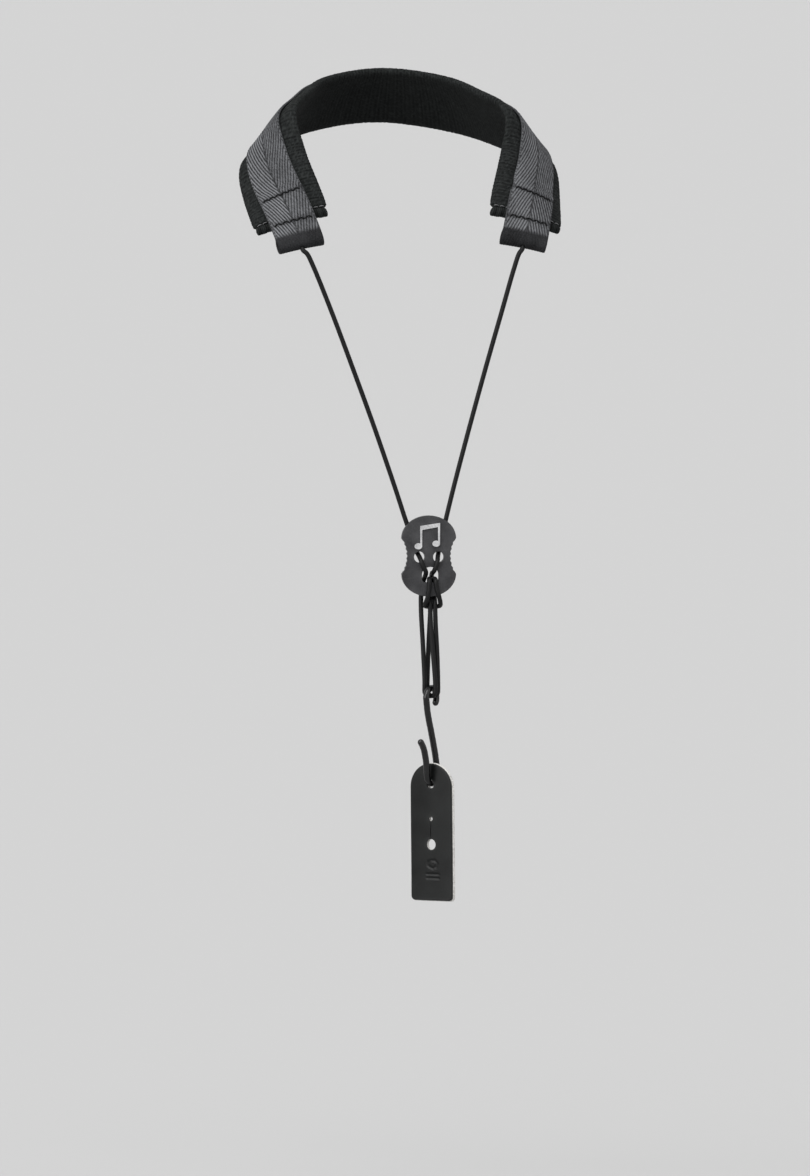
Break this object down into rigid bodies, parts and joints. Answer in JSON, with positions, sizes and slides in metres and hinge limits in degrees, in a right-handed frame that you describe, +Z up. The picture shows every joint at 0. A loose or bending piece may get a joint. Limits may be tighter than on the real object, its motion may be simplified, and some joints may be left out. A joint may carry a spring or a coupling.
{
  "type": "instrument neck strap",
  "caption": "Padded neck strap for a wind instrument: knit pad with herringbone webbing, round cord, waisted slider, wire hook and leather keyhole tab.",
  "frame": {"origin": "on the pad's lining, at the back of the neck, in the band's mid-plane", "axes": "+Z up, -Y to the front of the wearer, X across; left is -X as seen from the front"},
  "size_m": [0.1836, 0.162, 0.4649],
  "materials": {
    "black_knit": "brushed knit, matt",
    "black_foam": "open-cell foam",
    "grey_herringbone": "herringbone weave in two halves, slightly shiny ribs",
    "black_thread": "twisted thread",
    "black_cord": "braided, satin",
    "charcoal_plastic": "fine grain, matt",
    "silver_metal": "polished",
    "hook_steel": "drawn wire",
    "glossy_sleeve": "glossy",
    "black_leather": "smooth, satin",
    "pale_backing": "suede, raw edge"
  },
  "bodies": {
    "neck_band": {"pad_lining": "black_knit", "pad_foam_core": "black_foam", "pad_outer_cover": "black_knit", "webbing_band": "grey_herringbone", "pad_end_hem_left": "black_knit", "pad_end_hem_right": "black_knit", "cord_knot_left": "black_cord", "cord_knot_right": "black_cord", "stitch_row_upper_left": "black_thread", "stitch_row_lower_left": "black_thread", "stitch_row_upper_right": "black_thread", "stitch_row_lower_right": "black_thread", "neck_cord_left": "black_cord", "neck_cord_right": "black_cord"},
    "slider": {"slider_plate": "charcoal_plastic", "slider_emblem": "silver_metal", "front_strand_left": "black_cord", "front_strand_right": "black_cord", "cord_hitch": "black_cord", "running_strand_left": "black_cord", "running_strand_right": "black_cord", "fixed_strand_left": "black_cord", "fixed_strand_right": "black_cord"},
    "cord_bights": {"cord_bight_front": "black_cord", "cord_bight_back": "black_cord"},
    "hook": {"hook_wire": "hook_steel", "hook_sleeve": "glossy_sleeve"},
    "thumb_tab": {"tab_leather": "black_leather", "tab_backing": "pale_backing"}
  },
  "joints": [
    {"name": "slider_slide", "type": "slide", "parent": "neck_band", "child": "slider", "axis": [0, 0, 1], "range_m": [-0.055, 0.07], "deforming": ["neck_cord_left", "neck_cord_right"]},
    {"name": "loop_slide", "type": "slide", "parent": "slider", "child": "cord_bights", "axis": [0, 0, 1], "range_m": [-0.0335, 0.0265], "deforming": ["running_strand_left", "running_strand_right", "fixed_strand_left", "fixed_strand_right"]},
    {"name": "hook_swing", "type": "hinge", "parent": "cord_bights", "child": "hook", "pos_m": [0.0099, -0.134, -0.3335], "axis": [0.766, -0.6428, 0], "range_deg": [-60, 45]},
    {"name": "tab_swing", "type": "hinge", "parent": "hook", "child": "thumb_tab", "pos_m": [0.01029, -0.13354, -0.3817], "axis": [0.6428, 0.766, 0], "range_deg": [-75, 75]}
  ],
  "couplings": [
    {"joint": "loop_slide", "follows": "slider_slide", "ratio": -0.47}
  ]
}
